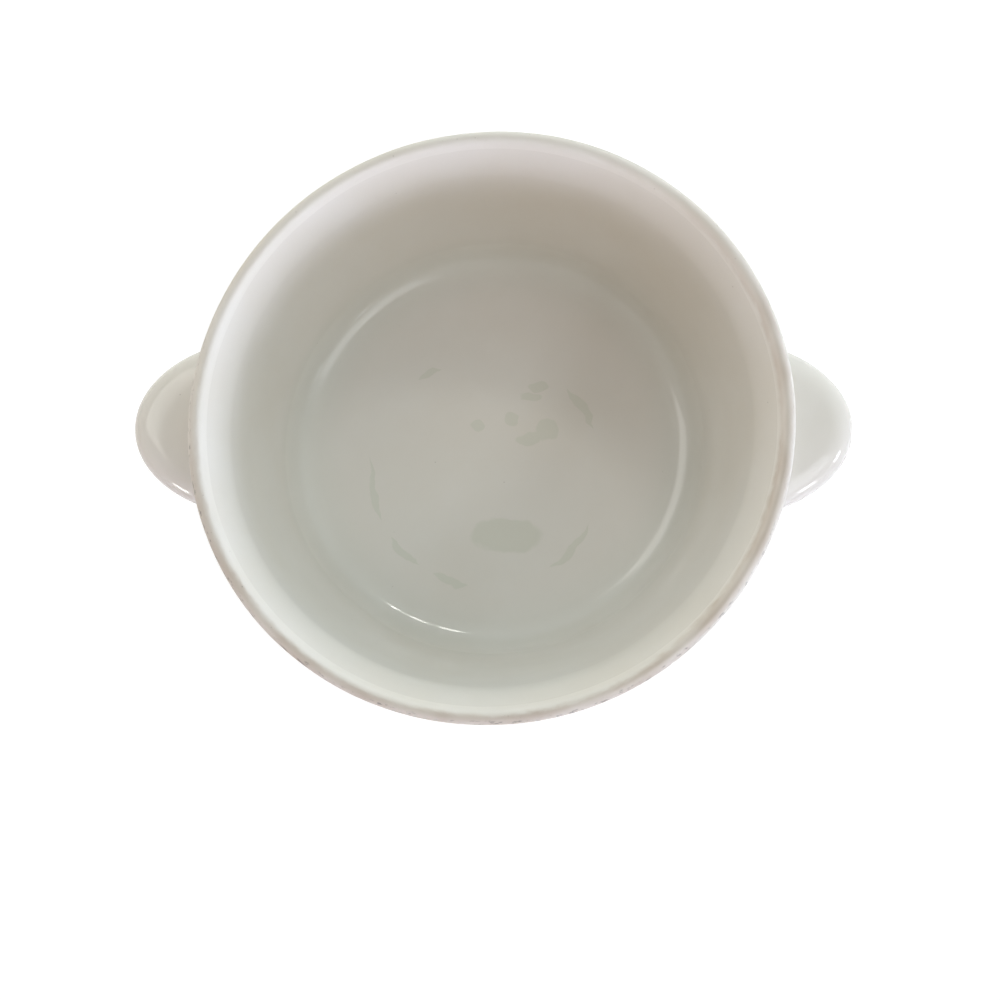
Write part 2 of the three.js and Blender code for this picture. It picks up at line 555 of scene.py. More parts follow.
def meeting_line():
    """Points and normals of the lug, once round its root: up one side, over the top, down and back below."""
    angles = [math.pi * (step / SLIP_EDGE_STEPS - 0.5) for step in range(SLIP_EDGE_STEPS + 1)]
    side = [edge_meets_wall(angle) for angle in angles]
    faces = {}
    for way, start in ((1, side[-1][0]), (-1, side[0][0])):
        shares = [1 - 2 * step / SLIP_FLAT_STEPS for step in range(1, SLIP_FLAT_STEPS)]
        faces[way] = [flat_meets_wall(start, start.y * share, way) for share in shares]
    other_side = [(Vector((p.x, -p.y, p.z)), Vector((n.x, -n.y, n.z))) for p, n in side[::-1]]
    return side + faces[1] + other_side + faces[-1][::-1]


root = meeting_line()
print("root of the lug has", len(root), "points, half width", round(max(p.y for p, n in root) / MM, 1), "mm")

# %% [markdown]
# ## Wiping the slip
#
# A torus is such a coil, here with one ring for each point of that line. Each ring starts on the lug and
# ends on the wall, at the same reach from the corner, and a simple curve with the corner as its control
# point joins the two. The last vertex of the ring lies just behind the corner, inside the clay, so the
# joint is a closed sliver that leaves no gap.

# %% Wipe the coil into a fillet
SLIP_RING = 14
COIL_RADIUS = 30 * MM
SLIP_SHARP_ANGLE = math.radians(50)
slip_reach = 3.2 * MM
slip_bury = 0.12 * MM


def wall_normal(point):
    """Normal of the round wall's outside at a point."""
    rise = 0.1 * MM
    slope = (outer_radius(point.z + rise) - outer_radius(point.z - rise)) / (2 * rise)
    radius = math.hypot(point.x, point.y)
    return Vector((point.x / radius, point.y / radius, -slope)).normalized()


def fillet_ring(before, point, after, lug_normal):
    """One ring of the fillet: from the lug to the wall along a hollow curve, and back behind the corner."""
    along = (after - before).normalized()
    out_of_wall = wall_normal(point)
    on_lug = along.cross(lug_normal).normalized()
    on_lug *= math.copysign(slip_reach, on_lug.dot(out_of_wall))
    on_wall = along.cross(out_of_wall).normalized()
    on_wall *= math.copysign(slip_reach, on_wall.dot(lug_normal))
    high = point + on_lug
    low = point + on_wall
    fit = outer_radius(low.z) / math.hypot(low.x, low.y)
    low = Vector((low.x * fit, low.y * fit, low.z))
    corner = point - (lug_normal + out_of_wall) * slip_bury
    ring = []
    for step in range(SLIP_RING - 1):
        share = step / (SLIP_RING - 2)
        ring.append(high * (1 - share) ** 2 + point * 2 * share * (1 - share) + low * share ** 2)
    return ring + [corner]


bpy.ops.object.select_all(action="DESELECT")
bpy.ops.mesh.primitive_torus_add(major_segments=len(root), minor_segments=SLIP_RING,
                                 major_radius=COIL_RADIUS, minor_radius=slip_reach)
slip = bpy.context.object
slip.name = slip.data.name = "right_slip_joint_fired"
shape = []
for i, (point, normal) in enumerate(root):
    shape += fillet_ring(root[i - 1][0], point, root[(i + 1) % len(root)][0], normal)
slip.data.vertices.foreach_set("co", [c for point in shape for c in point])
slip.data.update()
bpy.ops.object.mode_set(mode="EDIT")
bpy.ops.mesh.select_all(action="SELECT")
bpy.ops.mesh.normals_make_consistent(inside=False)
bpy.ops.object.mode_set(mode="OBJECT")
bpy.ops.object.shade_smooth_by_angle(angle=SLIP_SHARP_ANGLE)
left_slip = half_turn_copy(slip, "left_slip_joint_fired")
print("slip joint:", len(slip.data.polygons), "faces")

# %% [markdown]
# ## The foot ring
#
# The dish stands on a low ring that was left without glaze, so that it did not stick to the kiln shelf. Its
# section is a small block with rounded lower edges, turned like the wall.

# %% Turn the foot
foot_low, foot_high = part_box("foot_ring")
foot_outer = round((foot_high.x - foot_low.x + foot_high.y - foot_low.y) / 4, 5)
foot_width = 6 * MM
foot_edge = 1.4 * MM
foot_tuck = 0.05 * MM
FOOT_SHARP_ANGLE = math.radians(50)
foot_inner = foot_outer - foot_width
foot_top = foot_height + foot_tuck
foot_corners = [
    (foot_inner, foot_top, 0),
    (foot_inner, 0, foot_edge),
    (foot_outer, 0, foot_edge),
    (foot_outer, foot_top, 0),
]
foot = start_profile("foot_ring_fired", foot_inner, foot_top)
draw_corners(foot_corners)
draw_run(Vector((foot_outer, foot_top)), Vector((foot_inner, foot_top)))
turn_profile(foot)
bpy.ops.object.shade_smooth_by_angle(angle=FOOT_SHARP_ANGLE)

# %% [markdown]
# ## The kiln's wobble
#
# Every piece is now drawn out of round. The Displace modifier then adds a very slight unevenness to all but
# the foot, which has to stand flat. It uses one cloud texture in the shared frame, so that pieces which
# touch move together. It is only tenths of a millimetre, but on a glossy surface that is what bends a
# highlight and makes it look fired and not machined.

# %% Fire the pieces
WOBBLE_SIZE = 42 * MM
WOBBLE_DEPTH = 0.35 * MM
wobble = bpy.data.textures.new("kiln_wobble", "CLOUDS")
wobble.noise_scale = WOBBLE_SIZE
wobble.noise_depth = 1


def fire(piece):
    """Draws a piece out of round and gives it the shared wobble."""
    draw_out_of_round(piece)
    bend = piece.modifiers.new("wobble", "DISPLACE")
    bend.texture = wobble
    bend.texture_coords = "LOCAL"
    bend.strength = WOBBLE_DEPTH
    bend.mid_level = 0.5
    bpy.ops.object.modifier_apply(modifier=bend.name)


for piece in (dish, lug, left_lug, slip, left_slip):
    fire(piece)
draw_out_of_round(foot)
print("fired pieces:", [piece.name for piece in (dish, lug, left_lug, slip, left_slip, foot)])

# %% [markdown]
# ## A helper for shader nodes
#
# Materials are trees of nodes. One helper adds a node, sets its own settings and fills its inputs, where an
# input is given either as a value or as the output of another node.

# %% Put a node into a tree
def put(tree, kind, values=None, **settings):
    """Adds a node to a tree with its settings, and with values or links for its inputs."""
    node = tree.nodes.new(kind)
    for name, value in settings.items():
        setattr(node, name, value)
    for key, value in (values or {}).items():
        if isinstance(value, bpy.types.NodeSocket):
            tree.links.new(value, node.inputs[key])
        else:
            node.inputs[key].default_value = value
    return node


def mix_colours(tree, share, first, second, blend="MIX"):
    """A colour between two others."""
    mix = put(tree, "ShaderNodeMix", {0: share, 6: first, 7: second}, data_type="RGBA", blend_type=blend)
    return mix.outputs[2]


def calculate(tree, operation, first, second=0.0, third=0.0):
    """One step of arithmetic on numbers."""
    return put(tree, "ShaderNodeMath", {0: first, 1: second, 2: third}, operation=operation).outputs[0]


def combine(tree, operation, first, second=(0, 0, 0)):
    """One step of arithmetic on places or directions."""
    step = put(tree, "ShaderNodeVectorMath", {0: first, 1: second}, operation=operation)
    return step.outputs["Value" if operation in ("DOT_PRODUCT", "LENGTH") else "Vector"]


def level_direction(tree, place):
    """Direction of a place from the upright axis, without its height."""
    return combine(tree, "NORMALIZE", combine(tree, "MULTIPLY", place, (1, 1, 0)))


def ramp_between(tree, value, low, high, start=0.0, end=1.0):
    """A smooth change from start to end as a value goes from low to high."""
    fade = put(tree, "ShaderNodeMapRange",
               {"Value": value, "From Min": low, "From Max": high, "To Min": start, "To Max": end},
               interpolation_type="SMOOTHSTEP")
    return fade.outputs[0]


def cloud(tree, place, scale, detail=2.0, roughness=0.5):
    """A soft noise that stays between none and one."""
    noise = put(tree, "ShaderNodeTexNoise",
                {"Vector": place, "Scale": scale, "Detail": detail, "Roughness": roughness})
    return noise.outputs["Fac"]


print("helpers for nodes are ready")

# %% [markdown]
# ## Groups of nodes
#
# An effect that several finishes share, or that is used many times, is best kept in a node group with its
# own inputs and outputs. The helpers here make a group, place it in a tree by the names of its inputs, and
# link what it works out to its outputs.

# %% Make and use groups
def new_group(name, inputs, outputs):
    """A node group with sockets for numbers or places, and its two end nodes."""
    tree = bpy.data.node_groups.new(name, "ShaderNodeTree")
    for socket, kind, value in inputs:
        made = tree.interface.new_socket(name=socket, in_out="INPUT", socket_type=kind)
        if value is not None:
            made.default_value = value
    for socket, kind in outputs:
        tree.interface.new_socket(name=socket, in_out="OUTPUT", socket_type=kind)
    return tree, tree.nodes.new("NodeGroupInput").outputs, tree.nodes.new("NodeGroupOutput")


def use_group(tree, group, **values):
    """Places a node group in a tree, with its inputs named in lower case."""
    inputs = {name.replace("_", " ").title(): value for name, value in values.items()}
    return put(tree, "ShaderNodeGroup", inputs, node_tree=group).outputs


def link_results(tree, out, **values):
    """Links the results of a group to its outputs, which are named in lower case."""
    for name, value in values.items():
        tree.links.new(value, out.inputs[name.title()])


print("helpers for groups are ready")

# %% [markdown]
# ## The glaze
#
# Porcelain glaze is a layer of clear glass with a warm white body under it. Up close it isn't flat: the
# surface has a long soft waviness, a fine orange peel, a few pinholes and some grey iron specks, and its
# white drifts a little. All the glazed pieces share this, so it is a node group. A noise is given by how
# often it repeats in a metre, by its layers of detail and by how rough they are.

# %% Build the glaze group
TONE_NOISE = (22, 3, 0.55)
WAVE_NOISE = (75, 1)
PEEL_NOISE = (700, 2)
SPECK_SCALE = 95
SPECK_SMALLEST = 0.012
SPECK_SPREAD = 0.035
PORE_SCALE = 260
PORE_CHANCE = 0.05
PORE_EDGE = (0.03, 0.09)
PORE_DEPTH = 0.02


def build_glaze_group():
    """Tone, speck mask and height of fired glaze, from a place in metres."""
    tree, given, out = new_group(
        "fired_glaze",
        [("Place", "NodeSocketVector", None), ("Waviness", "NodeSocketFloat", 0.05),
         ("Orange Peel", "NodeSocketFloat", 0.004), ("Speck Share", "NodeSocketFloat", 0.03)],
        [("Tone", "NodeSocketFloat"), ("Specks", "NodeSocketFloat"), ("Pinholes", "NodeSocketFloat"),
         ("Height", "NodeSocketFloat")])
    place = given["Place"]
    tone = cloud(tree, place, *TONE_NOISE)
    wave = calculate(tree, "MULTIPLY", cloud(tree, place, *WAVE_NOISE), given["Waviness"])
    peel = calculate(tree, "MULTIPLY", cloud(tree, place, *PEEL_NOISE), given["Orange Peel"])

    cells = put(tree, "ShaderNodeTexVoronoi", {"Vector": place, "Scale": SPECK_SCALE}).outputs
    chance = put(tree, "ShaderNodeSeparateColor", {0: cells["Color"]}).outputs
    chosen = calculate(tree, "LESS_THAN", chance[0], given["Speck Share"])
    size = calculate(tree, "MULTIPLY_ADD", chance[1], SPECK_SPREAD, SPECK_SMALLEST)
    specks = calculate(tree, "MULTIPLY", chosen, calculate(tree, "LESS_THAN", cells["Distance"], size))

    pores = put(tree, "ShaderNodeTexVoronoi", {"Vector": place, "Scale": PORE_SCALE}).outputs
    pore_chance = put(tree, "ShaderNodeSeparateColor", {0: pores["Color"]}).outputs
    few = calculate(tree, "LESS_THAN", pore_chance[0], PORE_CHANCE)
    pinholes = calculate(tree, "MULTIPLY", ramp_between(tree, pores["Distance"], *PORE_EDGE, 1.0, 0.0), few)

    height = calculate(tree, "ADD", wave, peel)
    height = calculate(tree, "SUBTRACT", height, calculate(tree, "MULTIPLY", pinholes, PORE_DEPTH))
    link_results(tree, out, tone=tone, specks=specks, pinholes=pinholes, height=height)
    return tree


glaze_group = build_glaze_group()
print("glaze group:", len(glaze_group.nodes), "nodes")

# %% [markdown]
# ## Masks
#
# A mask is a number between none and one that says where an effect lies. Three small helpers give all the
# masks of the lip: one falls from one to none, one multiplies masks so that an effect lies only where all
# of them are, and one changes round the dish, by the cosine of the angle to the middle of a side.

# %% Helpers for masks
def towards(turn, climb):
    """The direction that is turned from the right lug and climbs from the table, both in degrees."""
    turn, climb = math.radians(turn), math.radians(climb)
    return Vector((math.cos(turn) * math.cos(climb), math.sin(turn) * math.cos(climb), math.sin(climb)))


def falling(tree, value, limits):
    """One below the lower limit and none above the higher one."""
    return ramp_between(tree, value, *limits, 1.0, 0.0)


def times(tree, first, *others):
    """The product of several masks."""
    for other in others:
        first = calculate(tree, "MULTIPLY", first, other)
    return first


def on_side(tree, level, turn, spread, elsewhere=0.0):
    """One towards a side of the dish, and less elsewhere, from the level direction of each point."""
    agreement = combine(tree, "DOT_PRODUCT", level, towards(turn, 0))
    return ramp_between(tree, agreement, *spread, elsewhere, 1.0)


print("helpers for masks are ready")

# %% [markdown]
# ## The worn and shaded lip
#
# The wear and the painted shade follow the distance from the crest that was measured on the mesh, in
# millimetres, and the side of the dish, in degrees from the right lug. At the front the outer half is
# darkened brown, partly by real stain and partly by painted shade, because it faces away from the light, and
# it has caught dark streaks. On the right, where the outer half faces the light, the outer edge is left light
# and the brown lies inside the crest, as stain and painted shade on the half that faces away. On the left the
# crest has a row of tiny dark pits.

# %% Stain and painted shade, streaks and pits
LIT_SIDE = 5
LIT_SIDE_SPREAD = (0.3, 0.75)
LIT_SIDE_INNER_SHIFT = 2.4
LIT_SIDE_OUTER_SHIFT = 4.2
STAINED_AND_SHADED_SIDE = -70
STAINED_AND_SHADED_SPREAD = (-0.9, 0.5)
STAIN_AND_SHADE_ELSEWHERE = 0.22
STAIN_AND_SHADE_RISES = (-1.7, 0.6)
STAIN_AND_SHADE_FADES = (5.0, 8.0)
PATCH_NOISE = (45, 2)
PATCH_LIMITS = (0.3, 0.7)
PATCH_LEAST = 0.45
STREAKED_SIDE = -105
STREAKED_SPREAD = (-0.2, 0.6)
STREAKS_ELSEWHERE = 0.15
STREAKS_RISE = (1.0, 2.2)
STREAKS_FADE = (3.2, 4.4)
STREAK_NOISE = (330, 3, 0.6)
STREAK_LIMITS = (0.55, 0.64)
PITTED_SIDE = 180
PITTED_SPREAD = (-0.4, 0.5)
PITS_ELSEWHERE = 0.2
PITS_FADE = (0.3, 1.1)
PIT_SCALE = 1000
PIT_CHANCE = 0.22
PIT_EDGE = (0.1, 0.3)
PIT_DARKNESS = 0.7
BREAK_NOISE = (90, 3)
BREAK_LIMITS = (0.47, 0.58)


def stain_and_shade_mask(tree, edge, drawn_out, level):
    """Brown stain and painted shade on the outer half, which lie inside the crest on the side toward the
    light.
    """
    # On the side toward the light the painted shade moves inside the crest.
    toward_light = on_side(tree, level, LIT_SIDE, LIT_SIDE_SPREAD)
    inner_edge = calculate(tree, "MULTIPLY_ADD", toward_light, LIT_SIDE_INNER_SHIFT, edge)
    outer_edge = calculate(tree, "MULTIPLY_ADD", toward_light, LIT_SIDE_OUTER_SHIFT, edge)
    band = times(tree, ramp_between(tree, inner_edge, *STAIN_AND_SHADE_RISES), falling(tree, outer_edge, STAIN_AND_SHADE_FADES))
    patches = ramp_between(tree, cloud(tree, drawn_out, *PATCH_NOISE), *PATCH_LIMITS, PATCH_LEAST, 1.0)
    return times(tree, band, patches, on_side(tree, level, STAINED_AND_SHADED_SIDE, STAINED_AND_SHADED_SPREAD, STAIN_AND_SHADE_ELSEWHERE))


def streak_mask(tree, edge, drawn_out, level):
    """Dark streaks on the outer half, most of them at the front."""
    outer = times(tree, ramp_between(tree, edge, *STREAKS_RISE), falling(tree, edge, STREAKS_FADE))
    caught = ramp_between(tree, cloud(tree, drawn_out, *STREAK_NOISE), *STREAK_LIMITS)
    side = on_side(tree, level, STREAKED_SIDE, STREAKED_SPREAD, STREAKS_ELSEWHERE)
    return times(tree, caught, outer, side)


def pit_mask(tree, edge, place, level):
    """A broken row of tiny pits on the crest, most of them on the left."""
    pits = put(tree, "ShaderNodeTexVoronoi", {"Vector": place, "Scale": PIT_SCALE}).outputs
    chance = put(tree, "ShaderNodeSeparateColor", {0: pits["Color"]}).outputs[0]
    some = calculate(tree, "LESS_THAN", chance, PIT_CHANCE)
    dots = ramp_between(tree, pits["Distance"], *PIT_EDGE, PIT_DARKNESS, 0.0)
    crest = falling(tree, calculate(tree, "ABSOLUTE", edge), PITS_FADE)
    broken = ramp_between(tree, cloud(tree, place, *BREAK_NOISE), *BREAK_LIMITS)
    side = on_side(tree, level, PITTED_SIDE, PITTED_SPREAD, PITS_ELSEWHERE)
    return times(tree, dots, some, crest, broken, side)


print("stain from", STAIN_AND_SHADE_RISES[0], "to", STAIN_AND_SHADE_FADES[1], "mm from the crest")

# %% [markdown]
# ## The lip as one group
#
# Stain and painted shade, streaks and pits share a ragged distance from the crest. The noise that makes it
# ragged is drawn out along the lip, because it changes faster across the lip than along it. A third output
# says where knocks have dulled the glaze.

# %% Build the lip group
LIP_STRETCH = 3
RAGGED_NOISE = (170, 3, 0.6)
RAGGED_REACH = 1.5
DULL_RISES = (-6.0, -3.0)
DULL_FADES = (5.0, 8.0)


def build_lip_group():
    """How stained and painted with shade the lip is, where dark grains sit on it and where its glaze is dull.
    """
    tree, given, out = new_group(
        "worn_shaded_lip",
        [("Place", "NodeSocketVector", None), ("From Crest", "NodeSocketFloat", 0.0)],
        [("Stain", "NodeSocketFloat"), ("Grains", "NodeSocketFloat"), ("Dull", "NodeSocketFloat")])
    place, from_crest = given["Place"], given["From Crest"]
    level = level_direction(tree, place)
    parts = put(tree, "ShaderNodeSeparateXYZ", {0: place}).outputs
    across = calculate(tree, "MULTIPLY", from_crest, LIP_STRETCH * MM)
    drawn_out = put(tree, "ShaderNodeCombineXYZ", {0: parts[0], 1: parts[1], 2: across}).outputs[0]
    noise = cloud(tree, drawn_out, *RAGGED_NOISE)
    ragged = put(tree, "ShaderNodeMapRange",
                 {"Value": noise, "To Min": -RAGGED_REACH, "To Max": RAGGED_REACH}).outputs[0]
    edge = calculate(tree, "ADD", from_crest, ragged)
    # The stain output is real stain and painted shade together.
    stain = stain_and_shade_mask(tree, edge, drawn_out, level)
    streaks = streak_mask(tree, edge, drawn_out, level)
    grains = calculate(tree, "MAXIMUM", streaks, pit_mask(tree, edge, place, level))
    dull = times(tree, ramp_between(tree, from_crest, *DULL_RISES), falling(tree, from_crest, DULL_FADES))
    link_results(tree, out, stain=stain, grains=grains, dull=dull)
    return tree


lip_group = build_lip_group()
print("lip group:", len(lip_group.nodes), "nodes")

# %% [markdown]
# ## Painted reflections on the floor
#
# Faint grey-green reflections of dark things in the room are painted on the floor: slim arcs on a ring that
# is a little off the middle, and a few blotches. Each kind is a small group that can be used again with other
# sizes. An arc is thickest half way along and runs out to nothing at its ends.

# %% Build an arc
REFLECTION_RING_RADIUS = 45 * MM
REFLECTION_ARC_WIDTH = 1.7 * MM
REFLECTION_ARC_EDGE = 0.3


def build_arc_group():
    """A slim arc on a ring, from the direction of its middle and the cosine of half its length."""
    tree, given, out = new_group(
        "floor_reflection_arc",
        [("Offset", "NodeSocketVector", None), ("Radius", "NodeSocketFloat", REFLECTION_RING_RADIUS),
         ("Width", "NodeSocketFloat", REFLECTION_ARC_WIDTH), ("Direction", "NodeSocketVector", None),
         ("End", "NodeSocketFloat", None)],
        [("Mark", "NodeSocketFloat")])
    radius = combine(tree, "LENGTH", given["Offset"])
    way = combine(tree, "NORMALIZE", given["Offset"])
    agreement = combine(tree, "DOT_PRODUCT", way, given["Direction"])
    thickness = put(tree, "ShaderNodeMapRange", {"Value": agreement, "From Min": given["End"]}).outputs[0]
    off_ring = calculate(tree, "ABSOLUTE", calculate(tree, "SUBTRACT", radius, given["Radius"]))
    depth = calculate(tree, "SUBTRACT", thickness, calculate(tree, "DIVIDE", off_ring, given["Width"]))
    link_results(tree, out, mark=ramp_between(tree, depth, 0.0, REFLECTION_ARC_EDGE))
    return tree


arc_group = build_arc_group()
print("arc group:", len(arc_group.nodes), "nodes")

# %% [markdown]
# ## Blotches
#
# A blotch is a flat ellipse. Once its place is divided by its size it is a circle, so a single length says
# how near a point is to its edge.

# %% Build a blotch
REFLECTION_BLOTCH_EDGE = (0.85, 1.05)


def build_blotch_group():
    """A blotch with fairly clear edges."""
    tree, given, out = new_group(
        "floor_reflection_blotch",
        [("Place", "NodeSocketVector", None), ("Centre", "NodeSocketVector", None),
         ("Size", "NodeSocketVector", None)],
        [("Mark", "NodeSocketFloat")])
    offset = combine(tree, "SUBTRACT", given["Place"], given["Centre"])
    reach = combine(tree, "LENGTH", combine(tree, "DIVIDE", offset, given["Size"]))
    link_results(tree, out, mark=falling(tree, reach, REFLECTION_BLOTCH_EDGE))
    return tree


blotch_group = build_blotch_group()
print("blotch group:", len(blotch_group.nodes), "nodes")

# %% [markdown]
# ## All painted reflections together
#
# The two groups are used once for each painted reflection, and the strongest one counts. Arcs are given by
# the angles where they start and end, and blotches by their place and half their size in millimetres. Places
# are warped a little by noise first, so that no edge is perfect, and a limit in height keeps the painted
# reflections off the wall and the underside.

# %% Build the floor group
REFLECTION_RING_CENTRE = (-3 * MM, -9.5 * MM, 0)
REFLECTION_ARCS = [(173, 208), (214, 236), (243, 262), (303, 335), (114, 128), (22, 48)]
REFLECTION_BLOTCHES = [
    {"at": (-7, 8), "size": (2.6, 2.2)},
    {"at": (7, 11.5), "size": (2.7, 2.7)},
    {"at": (20.5, 7), "size": (4.6, 5.2)},
    {"at": (13.5, 4), "size": (6.0, 2.8)},
    {"at": (14, 20), "size": (4.8, 2.0)},
    {"at": (17, 24), "size": (4.6, 1.9)},
    {"at": (5, -34), "size": (14.6, 6.8)},
]
REFLECTION_WARP = 6 * MM
REFLECTION_WARP_SCALE = 110
reflection_limit = (floor_height + 1 * MM, floor_height + 3 * MM)


def build_floor_group():
    """All the painted reflections together, on the floor only."""
    tree, given, out = new_group(
        "floor_marks", [("Place", "NodeSocketVector", None)], [("Marks", "NodeSocketFloat")])
    noise = put(tree, "ShaderNodeTexNoise",
                {"Vector": given["Place"], "Scale": REFLECTION_WARP_SCALE, "Detail": 2.0}).outputs["Color"]
    shift = combine(tree, "SUBTRACT", noise, (0.5, 0.5, 0.5))
    shift = combine(tree, "MULTIPLY", shift, (REFLECTION_WARP, REFLECTION_WARP, 0))
    place = combine(tree, "MULTIPLY", combine(tree, "ADD", given["Place"], shift), (1, 1, 0))
    offset = combine(tree, "SUBTRACT", place, REFLECTION_RING_CENTRE)
    marks = 0.0
    for start, end in REFLECTION_ARCS:
        middle, half = math.radians(start + end) / 2, math.radians(end - start) / 2
        arc = use_group(tree, arc_group, offset=offset, end=math.cos(half),
                        direction=(math.cos(middle), math.sin(middle), 0))
        marks = calculate(tree, "MAXIMUM", marks, arc["Mark"])
    for blotch in REFLECTION_BLOTCHES:
        centre = [c * MM for c in blotch["at"]] + [0]
        size = [c * MM for c in blotch["size"]] + [1]
        spot = use_group(tree, blotch_group, place=place, centre=centre, size=size)
        marks = calculate(tree, "MAXIMUM", marks, spot["Mark"])
    height = put(tree, "ShaderNodeSeparateXYZ", {0: given["Place"]}).outputs[2]
    above = ramp_between(tree, height, base_height, base_height + half_wall / 2)
    link_results(tree, out, marks=times(tree, marks, above, falling(tree, height, reflection_limit)))
    return tree


floor_group = build_floor_group()
print("floor group:", len(floor_group.nodes), "nodes")

# %% [markdown]
# ## Colour and sheen of the glaze
#
# Clear glaze shows the clay under it, so its white drifts with the tone of the fired body. The shader is the
# same dielectric in every finish: smooth for glaze and rough for bare clay. These helpers start a finish and
# give it the colour, roughness and bump that all glazed pieces share.

# %% Helpers for the glaze
WHITE = (0.82, 0.80, 0.755, 1)
WARM_WHITE = (0.80, 0.772, 0.715, 1)
# Darker, greener white of the painted shade in the bend between wall and floor.
BEND_SHADE_COLOUR = (0.74, 0.755, 0.70, 1)
SPECK = (0.30, 0.27, 0.24, 1)
BEND_SHADE_SHARE = 0.55
PINHOLE_SHARE = 0.35
COLOUR_DRIFT = (0.3, 0.7)
SHEEN_DRIFT = (0.25, 0.75)
GLAZE_INDEX = 1.52
GLAZE_ROUGHNESS = 0.09
GLAZE_ROUGHEST = 0.13


def new_finish(name):
    """An empty material with a Principled shader, and the place of each point in metres."""
    finish = bpy.data.materials.new(name)
    finish.use_nodes = True
    tree = finish.node_tree
    tree.nodes.clear()
    shader = put(tree, "ShaderNodeBsdfPrincipled", {"IOR": GLAZE_INDEX})
    put(tree, "ShaderNodeOutputMaterial", {0: shader.outputs[0]})
    place = put(tree, "ShaderNodeTexCoord").outputs["Object"]
    return finish, tree, shader, place


def tinted(tree, colour, mask, share, tint):
    """A colour that takes a share of a tint where a mask is one."""
    return mix_colours(tree, calculate(tree, "MULTIPLY", mask, share), colour, tint)


def glaze_colour(tree, glaze, bend_shade=None):
    """White that drifts with the tone, painted darker and greener as shade in the bend, with iron specks."""
    colour = mix_colours(tree, ramp_between(tree, glaze["Tone"], *COLOUR_DRIFT), WARM_WHITE, WHITE)
    if bend_shade is not None:
        colour = tinted(tree, colour, bend_shade, BEND_SHADE_SHARE, BEND_SHADE_COLOUR)
    colour = mix_colours(tree, glaze["Specks"], colour, SPECK)
    return tinted(tree, colour, glaze["Pinholes"], PINHOLE_SHARE, SPECK)


def glaze_roughness(tree, glaze):
    """A roughness that drifts a little with the tone."""
    return ramp_between(tree, glaze["Tone"], *SHEEN_DRIFT, GLAZE_ROUGHNESS, GLAZE_ROUGHEST)


def add_bump(tree, shader, height):
    """Feeds a height in millimetres to the shader's normal."""
    bump = put(tree, "ShaderNodeBump", {"Height": height, "Strength": 1.0, "Distance": MM})
    tree.links.new(bump.outputs[0], shader.inputs["Normal"])


print("roughness of the glaze from", GLAZE_ROUGHNESS, "to", GLAZE_ROUGHEST)

# %% [markdown]
# ## Finishes of the glazed pieces
#
# Lugs and slip joints take the glaze alone. The body takes the worn lip with its painted shade, the painted
# shade in the bend and the painted reflections on the floor as well, as tints over the white, with a rougher
# surface where the lip is dull or where the floor reflections are painted.

# %% Make the glazed finishes
# Brown of the lip: real stain, with painted shade on the outer half.
STAIN_AND_SHADE = (0.50, 0.41, 0.33, 1)
GRAIN = (0.10, 0.085, 0.07, 1)
# Grey-green painted reflection of dark things in the room, on the floor.
REFLECTION_TINT = (0.70, 0.71, 0.625, 1)
STAIN_AND_SHADE_SHARE = 0.7
GRAIN_SHARE = 0.6
REFLECTION_TINT_SHARE = 0.65
SPECK_SHARE = 0.012
DULL_ROUGHNESS = 0.3
REFLECTION_PATCH_ROUGHNESS = 0.1


def make_plain_glaze():
    """The glaze of the lugs and the slip joints."""
    finish, tree, shader, place = new_finish("porcelain_glaze")
    glaze = use_group(tree, glaze_group, place=place, speck_share=SPECK_SHARE)
    tree.links.new(glaze_colour(tree, glaze), shader.inputs["Base Color"])
    tree.links.new(glaze_roughness(tree, glaze), shader.inputs["Roughness"])
    add_bump(tree, shader, glaze["Height"])
    return finish


def make_dish_glaze():
    """The glaze of the body, with its worn and painted-shaded lip, painted shade in its bend and painted
    reflections on its floor.
    """
    finish, tree, shader, place = new_finish("porcelain_glaze_worn_shaded_lip")
    glaze = use_group(tree, glaze_group, place=place, speck_share=SPECK_SHARE)
    from_crest = put(tree, "ShaderNodeAttribute", attribute_name="from_crest").outputs["Fac"]
    # How deep each point lies in the bend, for its painted shade.
    bend_shade = put(tree, "ShaderNodeAttribute", attribute_name="bend_shade").outputs["Fac"]
    lip = use_group(tree, lip_group, place=place, from_crest=from_crest)
    floor = use_group(tree, floor_group, place=place)
    colour = glaze_colour(tree, glaze, bend_shade)
    # Painted reflections on the floor.
    colour = tinted(tree, colour, floor["Marks"], REFLECTION_TINT_SHARE, REFLECTION_TINT)
    # Stain and painted shade of the lip, then its dark grains.
    colour = tinted(tree, colour, lip["Stain"], STAIN_AND_SHADE_SHARE, STAIN_AND_SHADE)
    colour = tinted(tree, colour, lip["Grains"], GRAIN_SHARE, GRAIN)
    tree.links.new(colour, shader.inputs["Base Color"])
    rough = calculate(tree, "MULTIPLY_ADD", lip["Dull"], DULL_ROUGHNESS, glaze_roughness(tree, glaze))
    rough = calculate(tree, "MULTIPLY_ADD", floor["Marks"], REFLECTION_PATCH_ROUGHNESS, rough)
    tree.links.new(rough, shader.inputs["Roughness"])
    add_bump(tree, shader, glaze["Height"])
    return finish


plain_glaze = make_plain_glaze()
dish_glaze = make_dish_glaze()
print("finishes:", plain_glaze.name, dish_glaze.name)

# %% [markdown]
# ## The bare foot
#
# Unglazed biscuit is matt and slightly sandy. The ring touches every table that the dish is slid over, so
# its lowest edge is greyed. The glaze stops a little above the table in an uneven line.

# %% Make the foot's finish
BISCUIT = (0.66, 0.60, 0.52, 1)
BISCUIT_GREY = (0.42, 0.39, 0.35, 1)
BISCUIT_ROUGHNESS = 0.75
FOOT_SPECK_SHARE = 0.05
FOOT_ORANGE_PEEL = 0.01
GREY_SHARE = 0.7
SAND_NOISE = (1500, 2)
SAND_DEPTH = 0.03
WANDER_NOISE = (120, 2)
glaze_line = 3.4 * MM
glaze_line_wander = 1.6 * MM
glaze_line_blur = 0.2 * MM
grey_height = 1.2 * MM


